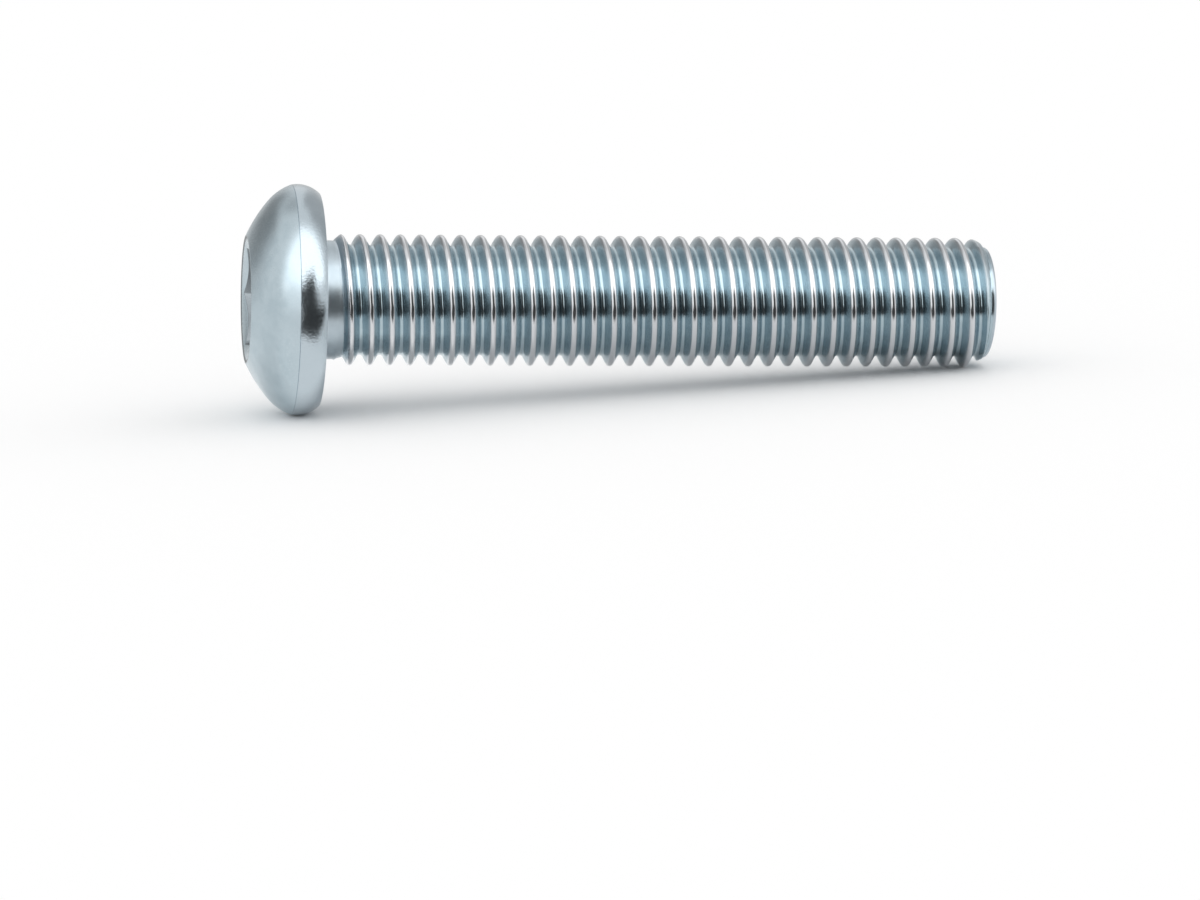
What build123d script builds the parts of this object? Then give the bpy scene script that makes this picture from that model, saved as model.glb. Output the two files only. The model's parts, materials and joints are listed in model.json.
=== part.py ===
from build123d import *
import math
import os

# Button head socket screw, M10 x 1.5 x 50, in millimetres and degrees.
# It is one forged blank. It is made upright on the Z axis, with the bearing face at Z = 0 and the
# end upwards, and is then laid on a level surface as it comes to rest. The shank has the outside
# of its thread: the thread's own grooves are left to the visual model.

# Shank
thread_diameter = 9.74  # over the crests
length = 50.5
end_diameter = 7.84  # of the flat face at the end
end_round = 2.0  # the end's convex edge, which leads into a nut
neck_diameter = 8.8
neck_length = 1.15
crest_run_out = 0.6  # over which the crests rise from the neck
underhead_fillet = 0.5

# Head
head_diameter = 17.1
crown_height = 6.38  # the dome's full height, before the socket opens it
rim_height = 1.58  # from the bearing face to the widest circle
rim_radius = 2.3

# Socket
countersink_diameter = 9.4
countersink_slope = 20
mouth_width = 7.37  # across the flats of the lead-in, at the level of the countersink's edge
lead_in_angle = 22
socket_width = 6.03
socket_depth = 3.5  # from the countersink's edge to the corners of the floor
floor_slope = 20
punch_overrun = 1.0  # how far the punch stands out in front of the head

# Shank radii
crest_radius = thread_diameter / 2
neck_radius = neck_diameter / 2
end_radius = end_diameter / 2
end_centre = crest_radius - end_round
last_crest = length - math.sqrt(end_round**2 - (end_radius - end_centre) ** 2)

# The rim is one round, and the dome is an arc centred on the axis that runs into it.
rim_centre = head_diameter / 2 - rim_radius
bearing_radius = rim_centre + math.sqrt(rim_radius**2 - rim_height**2)
crown_rise = crown_height - rim_height - rim_radius
dome_setback = (rim_centre**2 - crown_rise**2) / (2 * crown_rise)
dome_radius = rim_radius + math.hypot(rim_centre, dome_setback)
dome_edge_radius = dome_radius * rim_centre / (dome_radius - rim_radius)
dome_edge_height = rim_height + rim_radius * dome_setback / (dome_radius - rim_radius)

# The countersink's edge is the top of the head.
countersink_radius = countersink_diameter / 2
head_height = crown_height - dome_radius + math.sqrt(dome_radius**2 - countersink_radius**2)
countersink_depth = countersink_radius * math.tan(math.radians(countersink_slope))


def hexagon_radius(width):
    """Radius to the corners of a hexagon with this width across its flats."""
    return width / math.sqrt(3)


# Socket punch: a hexagon with a tapered shoulder and a blunt conical point
head_top = Plane(origin=(0, 0, -head_height), x_dir=(0, 1, 0), z_dir=(0, 0, 1))
socket_corner = hexagon_radius(socket_width)
point_length = socket_corner * math.tan(math.radians(floor_slope))
lead_in_depth = (mouth_width - socket_width) / 2 / math.tan(math.radians(lead_in_angle))
shoulder_width = mouth_width + 2 * punch_overrun * math.tan(math.radians(lead_in_angle))

with BuildPart() as socket_punch:
    with BuildSketch(head_top):
        RegularPolygon(socket_corner, side_count=6)
    extrude(amount=socket_depth + point_length)
    with BuildSketch(Plane.XZ):
        with BuildLine():
            Polyline(
                (0, -head_height),
                (mouth_width, -head_height),
                (mouth_width, socket_depth - head_height),
                (socket_corner, socket_depth - head_height),
                (0, socket_depth + point_length - head_height),
                close=True,
            )
        make_face()
    revolve(axis=Axis.Z, mode=Mode.INTERSECT)
    with BuildSketch(head_top.offset(-punch_overrun)):
        RegularPolygon(hexagon_radius(shoulder_width), side_count=6)
    extrude(amount=punch_overrun + lead_in_depth, taper=lead_in_angle)

# The screw: head, neck and shank are turned in one from half of their section, and the socket is
# punched into the head.
with BuildPart() as socket_screw:
    with BuildSketch(Plane.XZ):
        with BuildLine():
            FilletPolyline(
                (neck_radius, neck_length),
                (neck_radius, 0),
                (bearing_radius, 0),
                radius=underhead_fillet,
            )
            RadiusArc((bearing_radius, 0), (dome_edge_radius, -dome_edge_height), rim_radius)
            RadiusArc(
                (dome_edge_radius, -dome_edge_height),
                (countersink_radius, -head_height),
                dome_radius,
            )
            Polyline(
                (countersink_radius, -head_height),
                (0, countersink_depth - head_height),
                (0, length),
                (end_radius, length),
            )
            RadiusArc((end_radius, length), (crest_radius, last_crest), end_round)
            Polyline(
                (crest_radius, last_crest),
                (crest_radius, neck_length + crest_run_out),
                (neck_radius, neck_length),
            )
        make_face()
    revolve(axis=Axis.Z)
    add(socket_punch.part, mode=Mode.SUBTRACT)

# How it lies: a level line just touches the round of the rim and the round of the end.
rim_drop = rim_centre - end_centre
rim_to_end = math.hypot(last_crest + rim_height, rim_drop)
lie_angle = math.atan2(rim_drop, last_crest + rim_height)
lie_angle += math.asin((rim_radius - end_round) / rim_to_end)
lie_cos, lie_sin = math.cos(lie_angle), math.sin(lie_angle)
seat_height = rim_radius + rim_centre * lie_cos - rim_height * lie_sin
head_reach = head_height * lie_cos + countersink_radius * lie_sin
end_reach = length * lie_cos + end_radius * lie_sin
lying = Plane(
    origin=((head_reach - end_reach) / 2, 0, seat_height),
    x_dir=(lie_sin, 0, lie_cos),
    z_dir=(lie_cos, 0, -lie_sin),
)
socket_screw.part = lying.location * socket_screw.part
socket_screw.part.label = "socket_screw"
os.makedirs("parts", exist_ok=True)
export_step(socket_screw.part, "parts/socket_screw.step")
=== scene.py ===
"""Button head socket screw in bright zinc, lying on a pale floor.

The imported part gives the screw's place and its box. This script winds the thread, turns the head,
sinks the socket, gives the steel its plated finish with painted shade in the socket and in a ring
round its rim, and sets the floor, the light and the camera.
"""

import json
import logging
import math
from dataclasses import dataclass
from enum import Enum

import bmesh
import bpy
from bmesh.types import BMEdge, BMesh, BMFace, BMVert
from mathutils import Matrix, Vector


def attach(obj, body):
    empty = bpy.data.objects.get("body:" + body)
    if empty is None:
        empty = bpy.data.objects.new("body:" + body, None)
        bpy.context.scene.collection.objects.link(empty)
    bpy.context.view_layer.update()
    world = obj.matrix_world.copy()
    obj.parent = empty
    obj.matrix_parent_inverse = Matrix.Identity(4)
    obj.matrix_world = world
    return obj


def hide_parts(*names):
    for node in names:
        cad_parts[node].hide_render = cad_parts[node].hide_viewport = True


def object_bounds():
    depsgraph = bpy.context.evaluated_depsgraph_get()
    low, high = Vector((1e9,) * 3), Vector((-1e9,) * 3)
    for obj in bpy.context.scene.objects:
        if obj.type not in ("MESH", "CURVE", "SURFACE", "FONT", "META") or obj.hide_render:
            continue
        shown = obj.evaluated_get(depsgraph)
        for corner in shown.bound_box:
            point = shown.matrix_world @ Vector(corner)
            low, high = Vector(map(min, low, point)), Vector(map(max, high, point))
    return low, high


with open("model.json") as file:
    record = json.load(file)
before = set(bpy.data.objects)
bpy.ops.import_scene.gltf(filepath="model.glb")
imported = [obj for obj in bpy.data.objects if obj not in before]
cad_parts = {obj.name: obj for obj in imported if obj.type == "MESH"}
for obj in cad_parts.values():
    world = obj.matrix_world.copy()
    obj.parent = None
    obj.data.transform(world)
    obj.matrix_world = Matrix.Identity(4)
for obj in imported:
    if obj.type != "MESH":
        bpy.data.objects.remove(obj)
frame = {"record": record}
cad_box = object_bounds()

logging.basicConfig(level=logging.INFO, format="%(levelname)s %(message)s")
log = logging.getLogger("socket_screw")

MM = 0.001
FULL_TURN = 2 * math.pi

# How near two points count as one place, in millimetres: in the mesh, at a seam, and at a cut.
MESH_NEAR = 1e-3
SEAM_NEAR = 1e-4
CUT_NEAR = 1e-5

# What the materials read: a point's distance from the screw's axis and its height, and how far a
# point of a panel is inside the panel's edges.
TURNED = "turned"
INSIDE = "inside"


class Surface(Enum):
    """The places of the screw that have a finish of their own, by material slot."""

    DOME = 0
    RIM = 1
    THREAD = 2
    SOCKET = 3
    NECK = 4


class Outline:
    """A line drawn in the half-plane of radius and height, in millimetres, ready to be turned."""

    def __init__(self, radius: float, height: float) -> None:
        """Start the line.

        Args:
            radius: Distance of the first point from the screw's axis.
            height: Height of the first point over the bearing face.
        """
        self.points = [(radius, height)]

    def line(self, radius: float, height: float, steps: int = 1) -> None:
        """Draw a straight run.

        Args:
            radius: Radius at the end of the run.
            height: Height at the end of the run.
            steps: How many equal pieces the run is divided into.
        """
        start = Vector(self.points[-1])
        end = Vector((radius, height))
        self.points += [tuple(start.lerp(end, step / steps)) for step in range(1, steps + 1)]

    def arc(self, radius: float, height: float, turn: float, steps: int) -> None:
        """Draw a round run.

        Args:
            radius: Radius of the arc's centre.
            height: Height of the arc's centre.
            turn: Angle that the arc turns through, in degrees, positive from radius to height.
            steps: How many equal pieces the arc is divided into.
        """
        centre = Vector((radius, height))
        arm = Vector(self.points[-1]) - centre
        for step in range(1, steps + 1):
            turned = Matrix.Rotation(math.radians(turn) * step / steps, 2) @ arm
            self.points.append(tuple(centre + turned))

    def sink(self, index: int, depth: float) -> None:
        """Move one point of the line towards the axis."""
        radius, height = self.points[index]
        self.points[index] = (radius - depth, height)

    def wire(self, bm: BMesh) -> list[BMVert | BMEdge]:
        """Put the line into a mesh, standing over the X axis.

        Args:
            bm: The mesh that takes it.

        Returns:
            Its vertices and edges.
        """
        verts = [bm.verts.new((radius, 0, height)) for radius, height in self.points]
        return verts + [bm.edges.new(pair) for pair in zip(verts, verts[1:])]


def soft_min(first: float, second: float, blend: float) -> float:
    """Give the smaller of two lengths, with a round where they cross.

    Args:
        first: One length.
        second: The other length.
        blend: How near the lengths are where the round begins.

    Returns:
        The smaller length, or slightly less near the crossing.
    """
    share = min(max(0.5 + 0.5 * (second - first) / blend, 0), 1)
    return second + (first - second) * share - blend * share * (1 - share)


def soft_max(first: float, second: float, blend: float) -> float:
    """Give the larger of two lengths, with a round where they cross."""
    return -soft_min(-first, -second, blend)


def eased(share: float) -> float:
    """Hold a share between 0 and 1, and ease it in and out."""
    share = min(max(share, 0), 1)
    return share * share * (3 - 2 * share)


def boundary(bm: BMesh, height: float) -> list[BMEdge]:
    """Find the open edges at one height.

    Args:
        bm: The mesh.
        height: Height over the bearing face.

    Returns:
        The open edges whose ends are both there.
    """
    return [
        edge
        for edge in bm.edges
        if edge.is_boundary and all(abs(vert.co.z - height) < MESH_NEAR for vert in edge.verts)
    ]


def grow(bm: BMesh, loop: list[BMEdge]) -> tuple[list[BMEdge], list[BMVert], list[BMFace]]:
    """Extrude an open loop of edges.

    Args:
        bm: The mesh.
        loop: The open edges.

    Returns:
        The new open edges, their vertices and the faces between.
    """
    new = bmesh.ops.extrude_edge_only(bm, edges=loop)["geom"]
    verts = [item for item in new if isinstance(item, BMVert)]
    edges = [item for item in new if isinstance(item, BMEdge) and item.is_boundary]
    faces = [item for item in new if isinstance(item, BMFace)]
    return edges, verts, faces


@dataclass
class RolledThread:
    """The thread, rolled along the shank from the neck to the end, in millimetres and degrees.

    Crests and roots rise out of the neck over their run-outs. At the end the crests follow a round
    down to a smooth lip, which the end's edge and its flat face close.
    """

    neck_radius: float
    crest_radius: float = 4.87
    root_radius: float = 4.07
    pitch: float = 1.5
    first_crest: float = 1.62
    crest_round: float = 0.24
    root_round: float = 0.25
    flank_angle: float = 30
    neck_length: float = 1.1
    neck_cut: float = 0.95
    crest_run_out: float = 0.55
    root_run_out: float = 1.3
    length: float = 50.5
    end_radius: float = 3.92
    end_round: float = 2.0
    end_edge: float = 0.25
    lip_length: float = 0.6
    lip_run: float = 0.18
    blend: float = 0.1
    steps: int = 80
    arc_steps: int = 5
    flank_steps: int = 3
    end_steps: int = 5

    def profile(self, height: float) -> Outline:
        """Draw one pitch of the thread, from root to root.

        Args:
            height: Height of its crest.

        Returns:
            The outline, whose two ends have the same radius.
        """
        lean = 90 - self.flank_angle
        rounds = self.crest_round + self.root_round
        crest_centre = self.crest_radius - self.crest_round
        root_centre = self.root_radius + self.root_round
        flank_rise = crest_centre - root_centre + rounds * math.cos(math.radians(lean))
        flank_run = flank_rise * math.tan(math.radians(self.flank_angle))
        rounds_run = rounds * math.sin(math.radians(lean))
        flat = self.pitch / 2 - flank_run - rounds_run
        start = height - self.pitch / 2
        outline = Outline(self.root_radius, start)
        outline.arc(root_centre, start, -lean, self.arc_steps)
        radius, at = outline.points[-1]
        outline.line(radius + flank_rise, at + flank_run, self.flank_steps)
        outline.arc(crest_centre, height - flat, lean, self.arc_steps)
        outline.line(self.crest_radius, height + flat)
        outline.arc(crest_centre, height + flat, lean, self.arc_steps)
        radius, at = outline.points[-1]
        outline.line(radius - flank_rise, at + flank_run, self.flank_steps)
        outline.arc(root_centre, height + self.pitch / 2, -lean, self.arc_steps)
        return outline

    def crest_limit(self, height: float) -> float:
        """Give the radius that the blank lets the crests reach.

        Args:
            height: Height over the bearing face.

        Returns:
            The radius there.
        """
        grown = (height - self.neck_length) / self.crest_run_out
        neck = self.neck_radius + max(grown, 0) * (self.crest_radius - self.neck_radius)
        centre = self.crest_radius - self.end_round
        start = self.length - math.sqrt(self.end_round**2 - (self.end_radius - centre) ** 2)
        past = min(max(height - start, 0), self.length - start)
        end = centre + math.sqrt(self.end_round**2 - past**2)
        lip = min(end, self.end_radius + self.end_edge)
        lowered = eased((height - self.length + self.lip_length) / self.lip_run)
        return min(neck, end + lowered * (lip - end))

    def root_limit(self, height: float) -> float:
        """Give the radius that the roots are down to, as the thread runs out at the neck."""
        sunk = (height - self.neck_length) / self.root_run_out
        return self.neck_radius - sunk * (self.neck_radius - self.root_radius)

    def wind(self, bm: BMesh) -> None:
        """Wind the profile along the shank, and cut it at the neck and at the end.

        Args:
            bm: The mesh that takes the thread.
        """
        wire = self.profile(self.first_crest - self.pitch).wire(bm)
        turns = math.ceil((self.length - self.first_crest) / self.pitch) + 2
        bmesh.ops.spin(
            bm,
            geom=wire,
            cent=(0, 0, 0),
            axis=(0, 0, 1),
            dvec=(0, 0, self.pitch / self.steps),
            angle=FULL_TURN,
            steps=self.steps,
            use_merge=False,
        )
        bmesh.ops.spin(
            bm,
            geom=bm.verts[:] + bm.edges[:] + bm.faces[:],
            cent=(0, 0, 0),
            axis=(0, 0, 1),
            dvec=(0, 0, self.pitch),
            angle=0,
            steps=turns - 1,
            use_duplicate=True,
        )
        bmesh.ops.remove_doubles(bm, verts=bm.verts[:], dist=MESH_NEAR)
        for vert in bm.verts:
            radius = vert.co.xy.length
            formed = soft_max(radius, self.root_limit(vert.co.z), self.blend)
            limit = self.crest_limit(vert.co.z)
            if limit < self.crest_radius:
                formed = soft_min(formed, limit, self.blend)
            vert.co.xy *= formed / radius
        self.cut(bm, self.neck_cut, -1)
        self.cut(bm, self.length - self.end_edge, 1)

    def cut(self, bm: BMesh, height: float, side: int) -> None:
        """Cut the wound thread square across and drop what lies past the cut.

        Args:
            bm: The mesh.
            height: Height of the cut.
            side: 1 to drop what is above it, -1 to drop what is below it.
        """
        bmesh.ops.bisect_plane(
            bm,
            geom=bm.verts[:] + bm.edges[:] + bm.faces[:],
            dist=CUT_NEAR,
            plane_co=(0, 0, height),
            plane_no=(0, 0, side),
            clear_outer=True,
        )

    def close_end(self, bm: BMesh) -> None:
        """Round the edge of the end and close its flat face.

        Args:
            bm: The mesh, open at the end.
        """
        edges = boundary(bm, self.length - self.end_edge)
        for step in range(1, self.end_steps + 1):
            edges, verts, _ = grow(bm, edges)
            lean = step / self.end_steps * math.pi / 2
            for vert in verts:
                radius = self.end_radius + self.end_edge * math.cos(lean)
                vert.co.xy *= radius / vert.co.xy.length
                vert.co.z = self.length - self.end_edge * (1 - math.sin(lean))
        bmesh.ops.contextual_create(bm, geom=edges)


@dataclass
class ButtonHead:
    """The head, from the neck and the bearing face over the rim to the dome, in millimetres.

    The thread's open edges that the neck joins are those below thread_below.
    """

    neck_radius: float = 4.4
    neck_top: float = 0.85
    underhead_fillet: float = 0.5
    head_radius: float = 8.55
    rim_height: float = 1.58
    rim_radius: float = 2.3
    crown_height: float = 6.38
    ring_radius: float = 4.7
    trim_height: float = 2.0
    trim_width: float = 0.03
    trim_depth: float = 0.03
    shoulder_radius: float = 4.0
    thread_below: float = 2.0
    steps: int = 160
    neck_steps: int = 2
    fillet_steps: int = 6
    bearing_steps: int = 6
    rim_steps: int = 16
    shoulder_steps: int = 14
    dome_steps: int = 20

    def __post_init__(self) -> None:
        """Work out where the rim, the shoulder and the dome meet each other."""
        self.rim_centre = self.head_radius - self.rim_radius
        rise = self.crown_height - self.rim_height - self.rim_radius
        setback = (self.rim_centre**2 - rise**2) / (2 * rise)
        self.dome_radius = self.rim_radius + math.hypot(self.rim_centre, setback)
        self.dome_centre = self.dome_radius - self.crown_height
        fall = math.sqrt(self.dome_radius**2 - self.ring_radius**2)
        self.top = self.crown_height - self.dome_radius + fall
        self.trim = math.asin((self.trim_height - self.rim_height) / self.rim_radius)
        self.trim_radius = self.rim_centre + self.rim_radius * math.cos(self.trim)
        self.find_shoulder()

    def find_shoulder(self) -> None:
        """Find the centre of the round that runs from the trimmed rim into the dome."""
        across, along = self.trim_radius, self.dome_centre + self.trim_height
        apart = math.hypot(across, along)
        inner = self.dome_radius - self.shoulder_radius
        share = (inner**2 - self.shoulder_radius**2 + apart**2) / (2 * apart)
        aside = math.sqrt(inner**2 - share**2)
        radius = (share * across - aside * along) / apart
        depth = (share * along + aside * across) / apart
        self.shoulder = (radius, self.dome_centre - depth)
        self.shoulder_start = math.degrees(
            math.atan2(self.trim_height + self.shoulder[1], across - radius)
        )
        self.shoulder_end = math.degrees(math.atan2(depth, radius))

    def outline(self) -> Outline:
        """Draw the head from the neck to the ring round the socket.

        Returns:
            The outline, with the bearing face at a height of zero and the head below it.
        """
        fillet = self.underhead_fillet
        outline = Outline(self.neck_radius, self.neck_top)
        outline.line(self.neck_radius, fillet, self.neck_steps)
        outline.arc(self.neck_radius + fillet, fillet, 90, self.fillet_steps)
        outward = math.degrees(math.asin(self.rim_height / self.rim_radius))
        flat_radius = self.rim_centre + self.rim_radius * math.cos(math.radians(outward))
        outline.line(flat_radius, 0, self.bearing_steps)
        trim = math.degrees(self.trim)
        gap = math.degrees(self.trim_width / self.rim_radius)
        rim = outward + trim - gap
        outline.arc(self.rim_centre, -self.rim_height, -rim, self.rim_steps)
        outline.arc(self.rim_centre, -self.rim_height, -gap, 1)
        groove = len(outline.points) - 1
        gap = math.degrees(self.trim_width / self.shoulder_radius)
        outline.arc(*self.shoulder, -gap, 1)
        shoulder = self.shoulder_end - self.shoulder_start - gap
        outline.arc(*self.shoulder, -shoulder, self.shoulder_steps)
        dome = 90 - self.shoulder_end - math.degrees(math.asin(self.ring_radius / self.dome_radius))
        outline.arc(0, self.dome_centre, -dome, self.dome_steps)
        outline.sink(groove, self.trim_depth)
        return outline

    def turn(self, bm: BMesh) -> None:
        """Turn the head and join its neck to the thread.

        Args:
            bm: The mesh with the thread, open at the neck.
        """
        threaded = [
            edge
            for edge in bm.edges
            if edge.is_boundary and edge.verts[0].co.z < self.thread_below
        ]
        wire = self.outline().wire(bm)
        bmesh.ops.spin(
            bm,
            geom=wire,
            cent=(0, 0, 0),
            axis=(0, 0, 1),
            dvec=(0, 0, 0),
            angle=FULL_TURN,
            steps=self.steps,
            use_merge=True,
        )
        turned = [vert for vert in bm.verts if vert.co.z < self.neck_top + MESH_NEAR]
        bmesh.ops.remove_doubles(bm, verts=turned, dist=SEAM_NEAR)
        bmesh.ops.bridge_loops(bm, edges=threaded + boundary(bm, self.neck_top))


@dataclass
class HexSocket:
    """The countersunk hexagon socket in the top of the head, in millimetres and degrees."""

    ring_radius: float
    top: float
    countersink_slope: float = 20
    mouth_width: float = 7.37
    lead_in_angle: float = 22
    width: float = 6.03
    depth: float = 3.5
    floor_slope: float = 20
    edge_bevel: float = 0.07
    bevel_segments: int = 2
    floor_rings: int = 6
    ring_reach: float = 0.9

    def __post_init__(self) -> None:
        """Work out how deep the lead-in ends."""
        taper = math.tan(math.radians(self.lead_in_angle))
        self.throat_depth = (self.mouth_width - self.width) / 2 / taper

    @staticmethod
    def from_flat(vert: BMVert) -> float:
        """Find how far round a vertex is from the middle of the flat in front of it.

        Args:
            vert: A vertex of the socket.

        Returns:
            The angle, in radians.
        """
        around = math.atan2(vert.co.y, vert.co.x)
        sixth = FULL_TURN / 6
        return (around + sixth / 2) % sixth - sixth / 2

    def mouth(self, vert: BMVert) -> tuple[float, float]:
        """Find where the countersink meets the tapered lead-in.

        Args:
            vert: A vertex of the loop.

        Returns:
            Radius, and depth under the ring.
        """
        slope = math.tan(math.radians(self.countersink_slope))
        steep = slope * math.tan(math.radians(self.lead_in_angle))
        across = self.mouth_width / 2 - self.ring_radius * steep
        radius = across / (math.cos(self.from_flat(vert)) - steep)
        return radius, (self.ring_radius - radius) * slope

    def throat(self, vert: BMVert) -> tuple[float, float]:
        """Find where the lead-in ends and the straight walls begin."""
        return self.width / 2 / math.cos(self.from_flat(vert)), self.throat_depth

    def foot(self, vert: BMVert) -> tuple[float, float]:
        """Find where the walls meet the conical floor."""
        radius = self.width / 2 / math.cos(self.from_flat(vert))
        return radius, self.floor_depth(radius)

    def floor_depth(self, radius: float) -> float:
        """Give the floor's depth under the ring at one radius."""
        corner = self.width / math.sqrt(3)
        return self.depth + (corner - radius) * math.tan(math.radians(self.floor_slope))

    def sink(self, bm: BMesh) -> list[BMFace]:
        """Sink the socket from the ring at the top of the head.

        Args:
            bm: The mesh, open at the ring.

        Returns:
            The socket's faces past its countersink.
        """
        loop = boundary(bm, -self.top)
        faces: list[BMFace] = []
        for place in (self.mouth, self.throat, self.foot):
            loop, verts, new = grow(bm, loop)
            faces += new if place != self.mouth else []
            for vert in verts:
                radius, depth = place(vert)
                vert.co.xy *= radius / vert.co.xy.length
                vert.co.z = depth - self.top
        for ring in range(self.floor_rings, 0, -1):
            loop, verts, new = grow(bm, loop)
            faces += new
            for vert in verts:
                radius = vert.co.xy.length * (ring - self.ring_reach) / ring
                vert.co.xy *= radius / vert.co.xy.length
                vert.co.z = self.floor_depth(radius) - self.top
        faces += bmesh.ops.contextual_create(bm, geom=loop)["faces"]
        return faces


@dataclass(frozen=True)
class ZincFinish:
    """Bright zinc plating over the marks that forming left in the steel.

    The plating is lighter over a range of distances from the axis: burnished on the thread's
    crests, and in the socket a painted shade that is less dark towards the mouth. It may have
    another roughness in a band at one distance, and there a dark colour, which is painted shade.
    These distances are in millimetres. The grain's size and the depths are in metres.
    """

    name: str
    color: tuple[float, float, float]
    shade: tuple[float, float, float]
    burnish_and_painted_light: tuple[float, float, float]
    burnish_and_painted_light_radius: tuple[float, float]
    roughness: float
    roughness_spread: float
    grain_size: float
    grain_depth: float
    mark_depth: float
    band_radius: float = 0.0
    band_width: tuple[float, float] = (0.16, 0.3)
    band_grain: float = 0.0
    band_roughness: float = 0.0
    painted_band_shade: tuple[float, float, float] | None = None
    grain_range: tuple[float, float] = (0.3, 0.7)
    grain_detail: float = 3
    cloud_grains: float = 16
    cloud_range: tuple[float, float] = (0.38, 0.62)
    cloud_detail: float = 4
    mark_lines: float = 12
    mark_drift: float = 400
    mark_detail: float = 4
    noise_roughness: float = 0.6

    def material(self) -> bpy.types.Material:
        """Make the node material.

        Returns:
            The material.
        """
        material = bpy.data.materials.new(self.name)
        material.use_nodes = True
        tree = material.node_tree
        steel = tree.nodes["Principled BSDF"]
        steel.inputs["Metallic"].default_value = 1.0
        place = tree.nodes.new("ShaderNodeTexCoord").outputs["Object"]
        grain = self.noise(tree, place, 1 / self.grain_size, self.grain_detail)
        cloud_size = self.grain_size * self.cloud_grains
        cloud = self.noise(tree, place, 1 / cloud_size, self.cloud_detail)
        marks = self.turned_marks(tree, place)
        plate = self.mixed(tree, self.ranged(tree, cloud, self.cloud_range, (0, 1)))
        # Lighter towards the outside: burnish on the thread's crests, and a lighter painted shade
        # in the socket.
        color = self.burnished_and_painted_light(tree, plate)
        smoothest = self.roughness - self.roughness_spread
        roughest = self.roughness + self.roughness_spread
        rough = self.ranged(tree, grain, self.grain_range, (smoothest, roughest))
        if self.band_radius:
            share = self.off_band(tree, grain)
            rough = self.banded(tree, share, rough, self.band_roughness)
            # A colour in the band is painted shade: a dark ring at an edge.
            if self.painted_band_shade:
                color = self.banded(tree, share, color, (*self.painted_band_shade, 1))
        tree.links.new(color, steel.inputs["Base Color"])
        tree.links.new(rough, steel.inputs["Roughness"])
        surface = None
        for height, depth in ((grain, self.grain_depth), (marks, self.mark_depth)):
            bump = tree.nodes.new("ShaderNodeBump")
            bump.inputs["Distance"].default_value = depth
            tree.links.new(height, bump.inputs["Height"])
            if surface is not None:
                tree.links.new(surface, bump.inputs["Normal"])
            surface = bump.outputs["Normal"]
        tree.links.new(surface, steel.inputs["Normal"])
        return material

    def noise(
        self,
        tree: bpy.types.NodeTree,
        vector: bpy.types.NodeSocket,
        scale: float,
        detail: float,
    ) -> bpy.types.NodeSocket:
        """Add a noise texture.

        Args:
            tree: The material's nodes.
            vector: Where the texture is read.
            scale: Its scale.
            detail: How many finer layers it has.

        Returns:
            The texture's value.
        """
        node = tree.nodes.new("ShaderNodeTexNoise")
        node.inputs["Scale"].default_value = scale
        node.inputs["Detail"].default_value = detail
        node.inputs["Roughness"].default_value = self.noise_roughness
        tree.links.new(vector, node.inputs["Vector"])
        return node.outputs["Fac"]

    @staticmethod
    def ranged(
        tree: bpy.types.NodeTree,
        value: bpy.types.NodeSocket,
        source: tuple[float, float],
        target: tuple[float, float],
    ) -> bpy.types.NodeSocket:
        """Map a value from one range to another.

        Args:
            tree: The material's nodes.
            value: The value.
            source: The range that it is read in.
            target: The range that it is mapped to, which it doesn't leave.

        Returns:
            The mapped value.
        """
        node = tree.nodes.new("ShaderNodeMapRange")
        for name, level in zip(("From Min", "From Max", "To Min", "To Max"), source + target):
            node.inputs[name].default_value = level
        tree.links.new(value, node.inputs["Value"])
        return node.outputs["Result"]

    def mixed(
        self, tree: bpy.types.NodeTree, factor: bpy.types.NodeSocket
    ) -> bpy.types.NodeSocket:
        """Mix the shade and the colour of the plating.

        Args:
            tree: The material's nodes.
            factor: The share of the colour, from 0 to 1.

        Returns:
            The mixed colour.
        """
        node = tree.nodes.new("ShaderNodeMix")
        node.data_type = "RGBA"
        node.inputs["A"].default_value = (*self.shade, 1)
        node.inputs["B"].default_value = (*self.color, 1)
        tree.links.new(factor, node.inputs["Factor"])
        return node.outputs["Result"]

    def turned_marks(
        self, tree: bpy.types.NodeTree, place: bpy.types.NodeSocket
    ) -> bpy.types.NodeSocket:
        """Add fine lines that run round the screw's axis and fade in and out.

        Args:
            tree: The material's nodes.
            place: The object's coordinates.

        Returns:
            The height of the lines.
        """
        turned = tree.nodes.new("ShaderNodeAttribute")
        turned.attribute_name = TURNED
        drift = tree.nodes.new("ShaderNodeVectorMath")
        drift.operation = "MULTIPLY_ADD"
        drift.inputs[1].default_value = (self.mark_lines,) * 3
        tree.links.new(turned.outputs["Vector"], drift.inputs[0])
        slow = tree.nodes.new("ShaderNodeVectorMath")
        slow.operation = "SCALE"
        slow.inputs["Scale"].default_value = self.mark_drift
        tree.links.new(place, slow.inputs[0])
        tree.links.new(slow.outputs["Vector"], drift.inputs[2])
        return self.noise(tree, drift.outputs["Vector"], 1.0, self.mark_detail)

    @staticmethod
    def from_axis(tree: bpy.types.NodeTree) -> bpy.types.NodeSocket:
        """Read how far a point is from the screw's axis.

        Args:
            tree: The material's nodes.

        Returns:
            The distance in millimetres.
        """
        turned = tree.nodes.new("ShaderNodeAttribute")
        turned.attribute_name = TURNED
        parts = tree.nodes.new("ShaderNodeSeparateXYZ")
        tree.links.new(turned.outputs["Vector"], parts.inputs["Vector"])
        return parts.outputs["X"]

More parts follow.
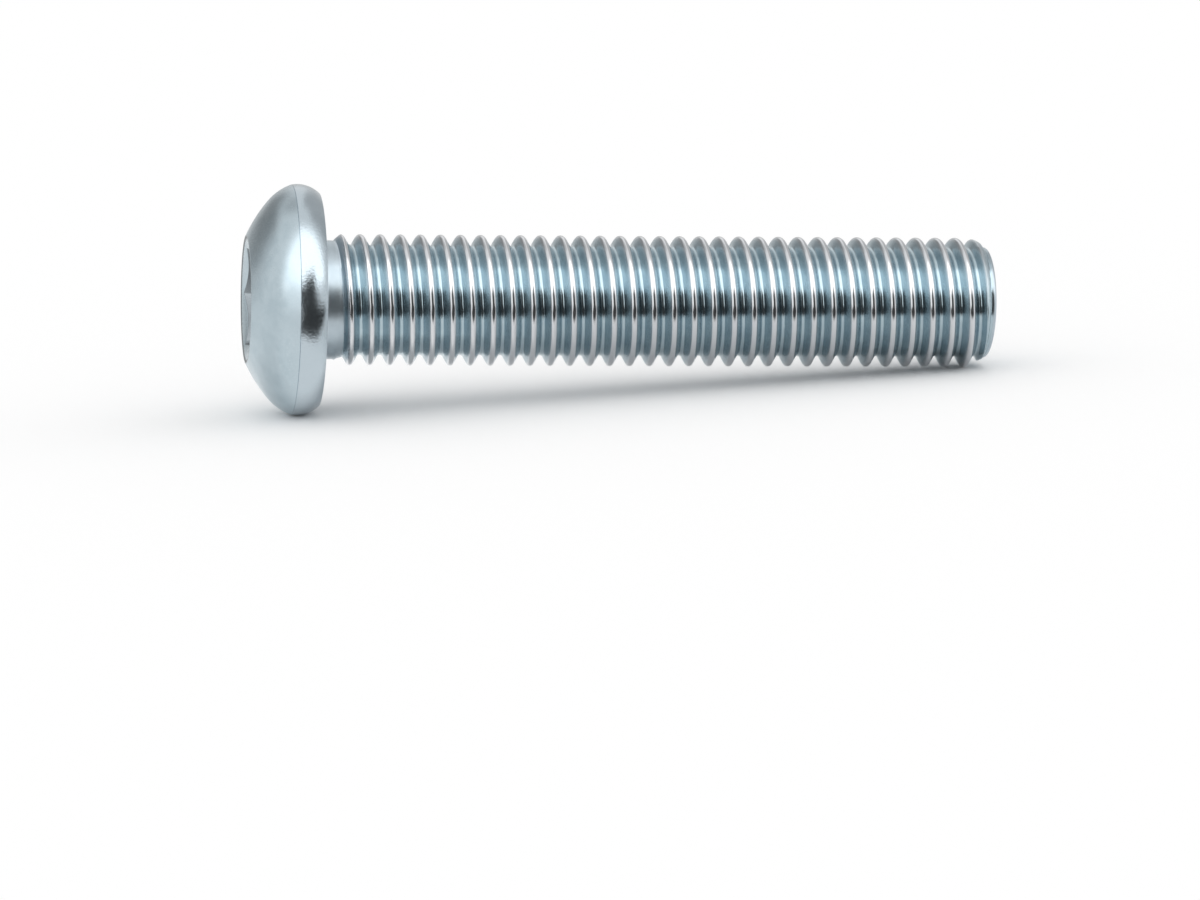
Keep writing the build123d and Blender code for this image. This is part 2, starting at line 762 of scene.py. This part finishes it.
    def burnished_and_painted_light(
        self, tree: bpy.types.NodeTree, plate: bpy.types.NodeSocket
    ) -> bpy.types.NodeSocket:
        """Brighten the plating where it stands furthest from the axis.

        Args:
            tree: The material's nodes.
            plate: The colour of the plating.

        Returns:
            The colour with its burnished parts and its lighter painted shade.
        """
        node = tree.nodes.new("ShaderNodeMix")
        node.data_type = "RGBA"
        node.inputs["B"].default_value = (*self.burnish_and_painted_light, 1)
        tree.links.new(plate, node.inputs["A"])
        share = self.ranged(tree, self.from_axis(tree), self.burnish_and_painted_light_radius, (0, 1))
        tree.links.new(share, node.inputs["Factor"])
        return node.outputs["Result"]

    def off_band(
        self, tree: bpy.types.NodeTree, grain: bpy.types.NodeSocket
    ) -> bpy.types.NodeSocket:
        """Tell how far a point is from the band that runs round the axis.

        Args:
            tree: The material's nodes.
            grain: The grain that roughens the band's edges.

        Returns:
            A share, 0 inside the band and 1 outside it.
        """
        value = self.from_axis(tree)
        for operation, amount in (("SUBTRACT", self.band_radius), ("ABSOLUTE", 0)):
            node = tree.nodes.new("ShaderNodeMath")
            node.operation = operation
            node.inputs[1].default_value = amount
            tree.links.new(value, node.inputs[0])
            value = node.outputs["Value"]
        node = tree.nodes.new("ShaderNodeMath")
        node.operation = "MULTIPLY_ADD"
        node.inputs[1].default_value = self.band_grain
        tree.links.new(grain, node.inputs[0])
        tree.links.new(value, node.inputs[2])
        return self.ranged(tree, node.outputs["Value"], self.band_width, (0, 1))

    @staticmethod
    def banded(
        tree: bpy.types.NodeTree,
        share: bpy.types.NodeSocket,
        value: bpy.types.NodeSocket,
        inside: float | tuple[float, float, float, float],
    ) -> bpy.types.NodeSocket:
        """Give a roughness or a colour another value inside the band.

        Args:
            tree: The material's nodes.
            share: 0 inside the band and 1 outside it.
            value: The roughness or colour outside the band.
            inside: The one inside it.

        Returns:
            The roughness or colour with its band.
        """
        node = tree.nodes.new("ShaderNodeMix")
        if not isinstance(inside, float):
            node.data_type = "RGBA"
        node.inputs["A"].default_value = inside
        tree.links.new(value, node.inputs["B"])
        tree.links.new(share, node.inputs["Factor"])
        return node.outputs["Result"]


FINISHES = {
    Surface.DOME: ZincFinish(
        name="satin_zinc_dome",
        color=(0.46, 0.545, 0.59),
        shade=(0.41, 0.495, 0.54),
        burnish_and_painted_light=(0.46, 0.54, 0.585),
        burnish_and_painted_light_radius=(8.0, 8.6),
        roughness=0.25,
        roughness_spread=0.03,
        grain_size=0.00009,
        grain_depth=0.0000012,
        mark_depth=0.0000004,
        # A dark grainy ring where the dome meets the countersink round the socket: painted shade at
        # that edge.
        band_radius=4.6,
        band_width=(0.23, 0.38),
        band_grain=0.36,
        band_roughness=0.4,
        painted_band_shade=(0.1, 0.115, 0.125),
    ),
    Surface.RIM: ZincFinish(
        name="trimmed_zinc_rim",
        color=(0.47, 0.54, 0.585),
        shade=(0.41, 0.48, 0.525),
        burnish_and_painted_light=(0.47, 0.54, 0.585),
        burnish_and_painted_light_radius=(8.0, 8.6),
        roughness=0.17,
        roughness_spread=0.06,
        grain_size=0.00016,
        grain_depth=0.000012,
        mark_depth=0.0000004,
    ),
    Surface.NECK: ZincFinish(
        name="drawn_zinc_neck",
        color=(0.47, 0.54, 0.585),
        shade=(0.41, 0.48, 0.525),
        burnish_and_painted_light=(0.62, 0.64, 0.67),
        burnish_and_painted_light_radius=(4.6, 4.85),
        roughness=0.34,
        roughness_spread=0.05,
        grain_size=0.0001,
        grain_depth=0.000001,
        mark_depth=0.0000004,
    ),
    Surface.THREAD: ZincFinish(
        name="rolled_zinc_thread",
        color=(0.425, 0.52, 0.565),
        shade=(0.375, 0.47, 0.52),
        burnish_and_painted_light=(0.625, 0.64, 0.66),
        burnish_and_painted_light_radius=(4.55, 4.85),
        roughness=0.15,
        roughness_spread=0.03,
        grain_size=0.0001,
        grain_depth=0.0000006,
        mark_depth=0.000001,
        band_radius=4.46,
        band_roughness=0.27,
    ),
    # The socket's colours are painted shade: it is the same zinc as the dome, painted dark for the
    # shade in the recess, darkest on its walls and floor and lighter towards its mouth.
    Surface.SOCKET: ZincFinish(
        name="zinc_socket_painted_shade",
        color=(0.16, 0.18, 0.195),
        shade=(0.1, 0.115, 0.125),
        burnish_and_painted_light=(0.24, 0.27, 0.29),
        burnish_and_painted_light_radius=(3.2, 4.1),
        roughness=0.3,
        roughness_spread=0.05,
        grain_size=0.00012,
        grain_depth=0.000001,
        mark_depth=0.0000004,
    ),
}


@dataclass
class SocketScrew:
    """The whole screw: thread, head and socket in one closed skin, in millimetres and degrees.

    The head's edges that are sharper than worn_angle and further than worn_from over the bearing
    face are slightly rounded.
    """

    thread: RolledThread
    head: ButtonHead
    socket: HexSocket
    worn_angle: float = 20
    worn_from: float = 2.5
    throat_near: float = 0.1
    crease_angle: float = 40

    def lie(self) -> Matrix:
        """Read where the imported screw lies.

        Returns:
            The transform from millimetres over the bearing face, with X upwards and Z along the
            shank, to the frame's metres.
        """
        mounts = frame["record"]["mounts"]
        seat = next(mount for mount in mounts if mount["name"] == "bearing_face")
        along = Vector(seat["axis"]).normalized()
        side = Vector((0, -1, 0))
        turn = Matrix((side.cross(along), side, along)).transposed().to_4x4()
        return Matrix.Translation(seat["pos_m"]) @ turn @ Matrix.Scale(MM, 4)

    def surface(self, face: BMFace, threaded: set[BMFace], socket: set[BMFace]) -> Surface:
        """Tell which finish a face has.

        Args:
            face: A face of the screw.
            threaded: The faces that the thread was wound from.
            socket: The faces of the socket past its countersink.

        Returns:
            The place of the screw that the face belongs to.
        """
        height = face.calc_center_median().z
        if face in socket:
            return Surface.SOCKET
        if face in threaded and height > self.thread.first_crest:
            return Surface.THREAD
        if height > 0:
            return Surface.NECK
        if height > -self.head.trim_height:
            return Surface.RIM
        return Surface.DOME

    def wear_socket(self, bm: BMesh) -> None:
        """Round the socket's outer edges, and give those at its throat the dome's lighter finish,
        left out of the socket's painted shade, so that they show as a bright line.

        Args:
            bm: The mesh of the whole screw, with its finishes.
        """
        sharp = [
            edge
            for edge in bm.edges
            if edge.calc_face_angle(0) > math.radians(self.worn_angle)
            and all(vert.co.z < -self.worn_from for vert in edge.verts)
        ]
        worn = bmesh.ops.bevel(
            bm,
            geom=sharp,
            offset=self.socket.edge_bevel,
            offset_type="OFFSET",
            segments=self.socket.bevel_segments,
            profile=0.5,
            affect="EDGES",
            material=-1,
            clamp_overlap=True,
        )["faces"]
        # The throat's rounded edge keeps the dome's finish, out of the socket's painted shade, and
        # shows as a bright line.
        for face in worn:
            depth = face.calc_center_median().z + self.socket.top
            if abs(depth - self.socket.throat_depth) < self.throat_near:
                face.material_index = Surface.DOME.value

    def build(self) -> bpy.types.Object:
        """Build the screw's mesh and dress it.

        Returns:
            The finished object.
        """
        bm = bmesh.new()
        self.thread.wind(bm)
        threaded = set(bm.faces)
        self.thread.close_end(bm)
        self.head.turn(bm)
        socket = set(self.socket.sink(bm))
        bmesh.ops.recalc_face_normals(bm, faces=bm.faces[:])
        for face in bm.faces:
            face.smooth = True
            face.material_index = self.surface(face, threaded, socket).value
        self.wear_socket(bm)
        for edge in bm.edges:
            edge.smooth = edge.calc_face_angle(0) < math.radians(self.crease_angle)
        turned = bm.verts.layers.float_vector.new(TURNED)
        for vert in bm.verts:
            vert[turned] = (vert.co.xy.length, 0, vert.co.z)
        bmesh.ops.transform(bm, matrix=self.lie(), verts=bm.verts[:])
        open_edges = sum(1 for edge in bm.edges if not edge.is_manifold)
        log.info("screw: %d faces, %d edges not closed", len(bm.faces), open_edges)
        mesh = bpy.data.meshes.new("button_head_screw")
        bm.to_mesh(mesh)
        bm.free()
        for surface in Surface:
            mesh.materials.append(FINISHES[surface].material())
        screw = bpy.data.objects.new("button_head_screw", mesh)
        bpy.context.scene.collection.objects.link(screw)
        return screw


@dataclass(frozen=True)
class Panel:
    """A panel of the light tent that only reflections see, curved round the object.

    Angles are in degrees, and the distance is in metres. Azimuth 0 is in front of the object, and
    grows to the right. The panel fades out towards its left, right, lower and upper edges, and over
    front_fade towards the upright plane between the front and the back.
    """

    name: str
    level: float
    azimuth: tuple[float, float]
    elevation: tuple[float, float]
    fade: tuple[float, float, float, float]
    distance: float
    front_fade: float = 0.0
    grid: tuple[int, int] = (48, 24)

    def build(self, centre: Vector) -> None:
        """Build the panel.

        Args:
            centre: The point that it curves round.
        """
        bm = bmesh.new()
        bmesh.ops.create_grid(bm, x_segments=self.grid[0], y_segments=self.grid[1], size=0.5)
        inside = bm.verts.layers.float.new(INSIDE)
        left, right = self.azimuth
        lower, upper = self.elevation
        for vert in bm.verts:
            azimuth = left + (vert.co.x + 0.5) * (right - left)
            elevation = lower + (vert.co.y + 0.5) * (upper - lower)
            vert[inside] = (
                eased((azimuth - left) / self.fade[0])
                * eased((right - azimuth) / self.fade[1])
                * eased((elevation - lower) / self.fade[2])
                * eased((upper - elevation) / self.fade[3])
            )
            toward = direction(azimuth, elevation)
            if self.front_fade:
                vert[inside] *= eased(-toward.y / self.front_fade)
            vert.co = centre + toward * self.distance
        reflected_only(self.name, bm, self.level)


def direction(azimuth: float, elevation: float) -> Vector:
    """Give the direction away from the object at two angles.

    Args:
        azimuth: Degrees round to the right, from the front.
        elevation: Degrees above the floor.

    Returns:
        The direction, with a length of 1.
    """
    around, above = math.radians(azimuth), math.radians(elevation)
    return Vector(
        (
            math.sin(around) * math.cos(above),
            -math.cos(around) * math.cos(above),
            math.sin(above),
        )
    )


def reflected_only(name: str, bm: BMesh, level: float) -> None:
    """Make a stage object that gives light to reflections and nothing else.

    Args:
        name: The object's name.
        bm: Its mesh, which is freed. Its vertices say how far they are inside the panel's edges.
        level: How bright it looks in the steel, where 1 is white.
    """
    mesh = bpy.data.meshes.new(name)
    bm.to_mesh(mesh)
    bm.free()
    material = bpy.data.materials.new(name)
    material.use_nodes = True
    nodes = material.node_tree.nodes
    links = material.node_tree.links
    nodes.remove(nodes["Principled BSDF"])
    inside = nodes.new("ShaderNodeAttribute")
    inside.attribute_name = INSIDE
    glow = nodes.new("ShaderNodeEmission")
    glow.inputs["Strength"].default_value = level
    fade = nodes.new("ShaderNodeMixShader")
    links.new(inside.outputs["Fac"], fade.inputs["Fac"])
    links.new(nodes.new("ShaderNodeBsdfTransparent").outputs["BSDF"], fade.inputs[1])
    links.new(glow.outputs["Emission"], fade.inputs[2])
    links.new(fade.outputs["Shader"], nodes["Material Output"].inputs["Surface"])
    mesh.materials.append(material)
    panel = bpy.data.objects.new(name, mesh)
    panel.visible_camera = False
    panel.visible_diffuse = False
    panel.visible_shadow = False
    bpy.context.scene.collection.objects.link(panel)


PANELS = (
    Panel(
        name="softbox",
        level=2.1,
        azimuth=(-97, 92),
        elevation=(8, 90),
        fade=(30, 14, 8, 4),
        distance=0.6,
        front_fade=0.28,
    ),
    Panel(
        name="side_softbox",
        level=1.3,
        azimuth=(-85, -14),
        elevation=(-10, 22),
        fade=(30, 4, 12, 8),
        distance=0.59,
    ),
    Panel(
        name="front_flag",
        level=0.06,
        azimuth=(-24, 8),
        elevation=(-4, 29),
        fade=(8, 8, 1, 12),
        distance=0.5,
    ),
    Panel(
        name="front_right_flag",
        level=0.045,
        azimuth=(-4, 44),
        elevation=(-4, 36),
        fade=(8, 16, 1, 14),
        distance=0.505,
    ),
    Panel(
        name="side_flag",
        level=0.45,
        azimuth=(8, 62),
        elevation=(-4, 23),
        fade=(10, 24, 1, 19),
        distance=0.51,
    ),
    Panel(
        name="corner_flag",
        level=0.32,
        azimuth=(-176, -114),
        elevation=(3, 46),
        fade=(18, 18, 12, 22),
        distance=0.58,
    ),
    Panel(
        name="back_flag",
        level=0.6,
        azimuth=(92, 172),
        elevation=(10, 74),
        fade=(20, 14, 12, 20),
        distance=0.61,
    ),
    Panel(
        name="top_flag",
        level=0.6,
        azimuth=(-172, -122),
        elevation=(34, 72),
        fade=(18, 18, 14, 16),
        distance=0.61,
    ),
    Panel(
        name="grey_backdrop",
        level=0.7,
        azimuth=(108, 252),
        elevation=(-1, 26),
        fade=(14, 14, 1, 14),
        distance=0.62,
    ),
)


@dataclass
class Studio:
    """The pale floor, the white surround and the light tent, in metres and degrees.

    A bright card lies on the floor round the head, with a gap along its middle, and fades out over
    its outer half. A dark flag lies in front of the object: it starts nearer to the shank than to
    the head, and widens outwards.
    """

    floor_radius: float = 4.0
    floor_sides: int = 64
    floor_color: tuple[float, float, float] = (1.0, 1.0, 1.0)
    floor_roughness: float = 0.9
    card_level: float = 1.05
    card_size: tuple[float, float] = (0.05, 0.07)
    card_gap: float = 0.003
    card_lift: float = 0.0001
    card_grid: tuple[int, int] = (32, 48)
    flag_level: float = 0.05
    flag_near: tuple[float, float] = (0.0186, 0.0125)
    flag_turn: float = 0.014
    flag_fade: float = 0.006
    flag_far: float = 0.5
    flag_azimuth: tuple[float, float] = (-20, 44)
    flag_side_fade: float = 0.35
    flag_lift: float = 0.0002
    flag_grid: tuple[int, int] = (64, 48)
    flag_crowding: int = 3

    def build(self, low: Vector, high: Vector) -> None:
        """Build the stage.

        Args:
            low: The lowest corner of the object's box.
            high: The highest corner of the object's box.
        """
        self.lay_floor()
        self.light_world()
        self.lay_card(low)
        self.lay_flag(low, high)
        for panel in PANELS:
            panel.build((low + high) / 2)

    def lay_card(self, low: Vector) -> None:
        """Lay a bright card on the floor round the head, which only reflections see.

        Args:
            low: The lowest corner of the object's box, at the head.
        """
        bm = bmesh.new()
        columns, rows = self.card_grid
        bmesh.ops.create_grid(bm, x_segments=columns, y_segments=rows, size=0.5)
        inside = bm.verts.layers.float.new(INSIDE)
        for vert in bm.verts:
            along, aside = eased(2 - 4 * abs(vert.co.x)), eased(2 - 4 * abs(vert.co.y))
            vert.co.x = low.x + vert.co.x * self.card_size[0]
            vert.co.y *= self.card_size[1]
            vert.co.z = self.card_lift
            vert[inside] = along * aside * eased(abs(vert.co.y) / self.card_gap - 1)
        reflected_only("floor_card", bm, self.card_level)

    def lay_flag(self, low: Vector, high: Vector) -> None:
        """Lay a dark flag on the floor in front of the object, which only reflections see.

        Args:
            low: The lowest corner of the object's box.
            high: The highest corner of the object's box.
        """
        bm = bmesh.new()
        columns, rows = self.flag_grid
        bmesh.ops.create_grid(bm, x_segments=columns, y_segments=rows, size=0.5)
        inside = bm.verts.layers.float.new(INSIDE)
        left, right = (math.tan(math.radians(angle)) for angle in self.flag_azimuth)
        at_head, at_shank = self.flag_near
        for vert in bm.verts:
            across, out = vert.co.x + 0.5, (vert.co.y + 0.5) ** self.flag_crowding
            reach = at_shank + out * (self.flag_far - at_shank)
            start, end = low.x + left * reach, high.x + right * reach
            vert.co = Vector((start + across * (end - start), -reach, self.flag_lift))
            head_share = 1 - eased((vert.co.x - low.x) / self.flag_turn)
            near = at_shank + head_share * (at_head - at_shank)
            side = min(across, 1 - across) * (end - start) / (self.flag_side_fade * reach)
            vert[inside] = eased((reach - near) / self.flag_fade) * eased(side)
        reflected_only("floor_flag", bm, self.flag_level)

    def lay_floor(self) -> None:
        """Lay the pale floor under the object."""
        bm = bmesh.new()
        bmesh.ops.create_circle(
            bm, cap_ends=True, radius=self.floor_radius, segments=self.floor_sides
        )
        mesh = bpy.data.meshes.new("floor")
        bm.to_mesh(mesh)
        bm.free()
        material = bpy.data.materials.new("pale_floor")
        material.use_nodes = True
        matte = material.node_tree.nodes["Principled BSDF"]
        matte.inputs["Base Color"].default_value = (*self.floor_color, 1)
        matte.inputs["Roughness"].default_value = self.floor_roughness
        matte.inputs["Specular IOR Level"].default_value = 0.0
        mesh.materials.append(material)
        floor = bpy.data.objects.new("floor", mesh)
        bpy.context.scene.collection.objects.link(floor)

    def light_world(self) -> None:
        """Light everything evenly with a white surround."""
        world = bpy.data.worlds.new("white_surround")
        world.use_nodes = True
        world.node_tree.nodes["Background"].inputs["Color"].default_value = (1, 1, 1, 1)
        world.node_tree.nodes["Background"].inputs["Strength"].default_value = 1.0
        bpy.context.scene.world = world


@dataclass
class Portrait:
    """The camera, which sees the screw's axis level, in millimetres and degrees."""

    azimuth: float = -8
    elevation: float = 9
    distance: float = 391
    lens: float = 157.15
    aim_along: float = 21.12
    aim_below: float = 11.13

    def build(self, lie: Matrix) -> None:
        """Set the camera up.

        Args:
            lie: The transform of the screw, from its own millimetres to metres.
        """
        along = lie.col[2].xyz.normalized()
        back = direction(self.azimuth, self.elevation)
        right = (along - back * along.dot(back)).normalized()
        up = back.cross(right)
        aim = lie @ Vector((0, 0, self.aim_along)) - up * self.aim_below * MM
        data = bpy.data.cameras.new("portrait")
        data.lens = self.lens
        camera = bpy.data.objects.new("portrait", data)
        turn = Matrix((right, up, back)).transposed().to_4x4()
        camera.matrix_world = Matrix.Translation(aim + back * self.distance * MM) @ turn
        bpy.context.scene.collection.objects.link(camera)
        bpy.context.scene.camera = camera


def main() -> None:
    """Build the screw, the studio and the camera, and report each piece."""
    bpy.context.scene.view_settings.view_transform = "Standard"
    head = ButtonHead()
    thread = RolledThread(neck_radius=head.neck_radius)
    screw = SocketScrew(thread, head, HexSocket(ring_radius=head.ring_radius, top=head.top))
    piece = screw.build()
    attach(piece, "root")
    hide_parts("socket_screw")
    low, high = (Vector(corner) for corner in cad_box)
    Studio().build(low, high)
    Portrait().build(screw.lie())
    log.info("stage and camera set")


if __name__ == "__main__":
    main()
